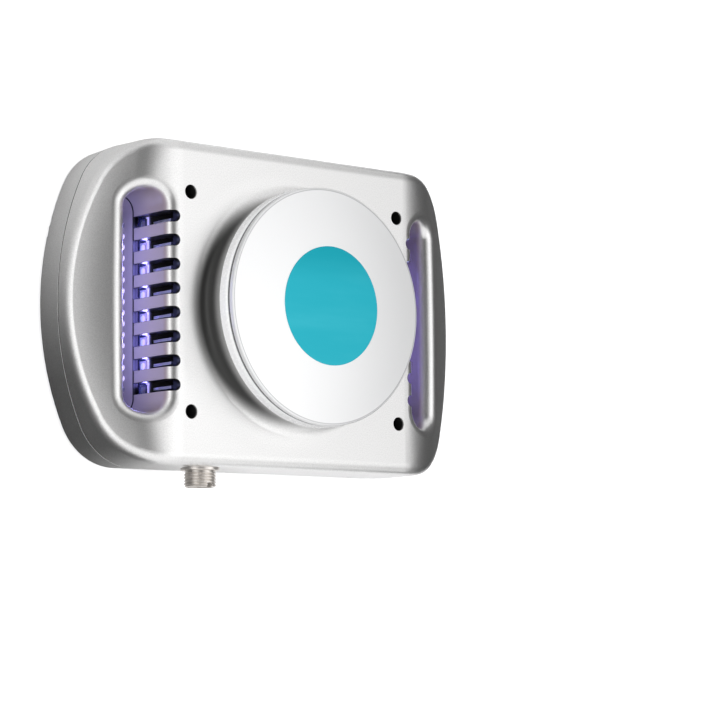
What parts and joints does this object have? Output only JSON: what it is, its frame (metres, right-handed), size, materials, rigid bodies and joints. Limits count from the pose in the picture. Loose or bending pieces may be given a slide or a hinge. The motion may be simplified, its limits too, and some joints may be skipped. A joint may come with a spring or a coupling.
{
  "type": "cryolipolysis device",
  "caption": "Belt-worn cooling applicator: flat two-shell case with a strap slot at each end, vented slot walls, a domed round cold plate on a pedestal and a round supply socket.",
  "frame": {"origin": "centre of the flat back face, under the axis of the cold plate", "axes": "+Z along the cold plate's outward normal, +X along the case's length, +Y across it away from the supply socket"},
  "size_m": [0.25, 0.1713, 0.0781],
  "materials": {
    "upper_shell": "fine moulded satin",
    "lower_shell": "fine moulded satin",
    "bezel_ring": "fine moulded satin",
    "plate_gasket": "matt",
    "cold_plate": "bead blasted and anodised clear",
    "plate_disc": "smooth film",
    "plate_pad": "soft thermal pad",
    "cold_block": "machined",
    "insulation_collar": "closed-cell foam",
    "heat_sink": "extruded, sawn ends",
    "clamp_screws": "zinc plated",
    "clamp_bushes": "turned nylon",
    "sink_screws": "zinc plated",
    "fan_frame": "moulded",
    "fan_bearing": "sintered",
    "fan_stator": "laminated core",
    "fan_board": "solder mask",
    "fan_screws": "zinc plated",
    "air_baffle": "sheet",
    "control_board": "solder mask",
    "capacitors": "sleeved cans",
    "power_transistors": "moulded",
    "controller_chip": "moulded",
    "headers": "moulded",
    "socket_shell": "bright nickel on brass",
    "socket_insert": "moulded",
    "socket_pins": "silver plated",
    "socket_washer": "plated",
    "socket_nut": "bright nickel",
    "case_screws": "black zinc",
    "plate_sensor": "drawn sleeve",
    "supply_lead": "matt jacket",
    "module_lead": "matt jacket",
    "sensor_lead": "matt jacket",
    "fan_lead": "matt jacket",
    "cooling_module_1": "fired alumina faces",
    "cooling_module_2": "fired alumina faces",
    "cooling_module_3": "fired alumina faces",
    "cooling_module_4": "fired alumina faces",
    "light_board_left": "white solder mask",
    "light_board_right": "white solder mask",
    "emitters_left": "clear lens over violet chips",
    "emitters_right": "clear lens over violet chips",
    "light_lead_left": "matt jacket",
    "light_lead_right": "matt jacket",
    "fan_rotor": "moulded",
    "fan_magnet": "bonded ferrite",
    "fan_shaft": "ground"
  },
  "bodies": {
    "case": {"upper_shell": "upper_shell", "lower_shell": "lower_shell", "bezel_ring": "bezel_ring", "plate_gasket": "plate_gasket", "cold_plate": "cold_plate", "plate_disc": "plate_disc", "plate_pad": "plate_pad", "cold_block": "cold_block", "insulation_collar": "insulation_collar", "heat_sink": "heat_sink", "clamp_screws": "clamp_screws", "clamp_bushes": "clamp_bushes", "sink_screws": "sink_screws", "fan_frame": "fan_frame", "fan_bearing": "fan_bearing", "fan_stator": "fan_stator", "fan_board": "fan_board", "fan_screws": "fan_screws", "air_baffle": "air_baffle", "control_board": "control_board", "capacitors": "capacitors", "power_transistors": "power_transistors", "controller_chip": "controller_chip", "headers": "headers", "socket_shell": "socket_shell", "socket_insert": "socket_insert", "socket_pins": "socket_pins", "socket_washer": "socket_washer", "socket_nut": "socket_nut", "case_screws": "case_screws", "plate_sensor": "plate_sensor", "supply_lead": "supply_lead", "module_lead": "module_lead", "sensor_lead": "sensor_lead", "fan_lead": "fan_lead", "cooling_module_1": "cooling_module_1", "cooling_module_2": "cooling_module_2", "cooling_module_3": "cooling_module_3", "cooling_module_4": "cooling_module_4", "light_board_left": "light_board_left", "light_board_right": "light_board_right", "emitters_left": "emitters_left", "emitters_right": "emitters_right", "light_lead_left": "light_lead_left", "light_lead_right": "light_lead_right"},
    "fan": {"fan_rotor": "fan_rotor", "fan_magnet": "fan_magnet", "fan_shaft": "fan_shaft"}
  },
  "joints": [
    {"name": "fan_spin", "type": "hinge", "parent": "case", "child": "fan", "pos_m": [0, 0, 0.014], "axis": [0, 0, 1], "continuous": true}
  ]
}
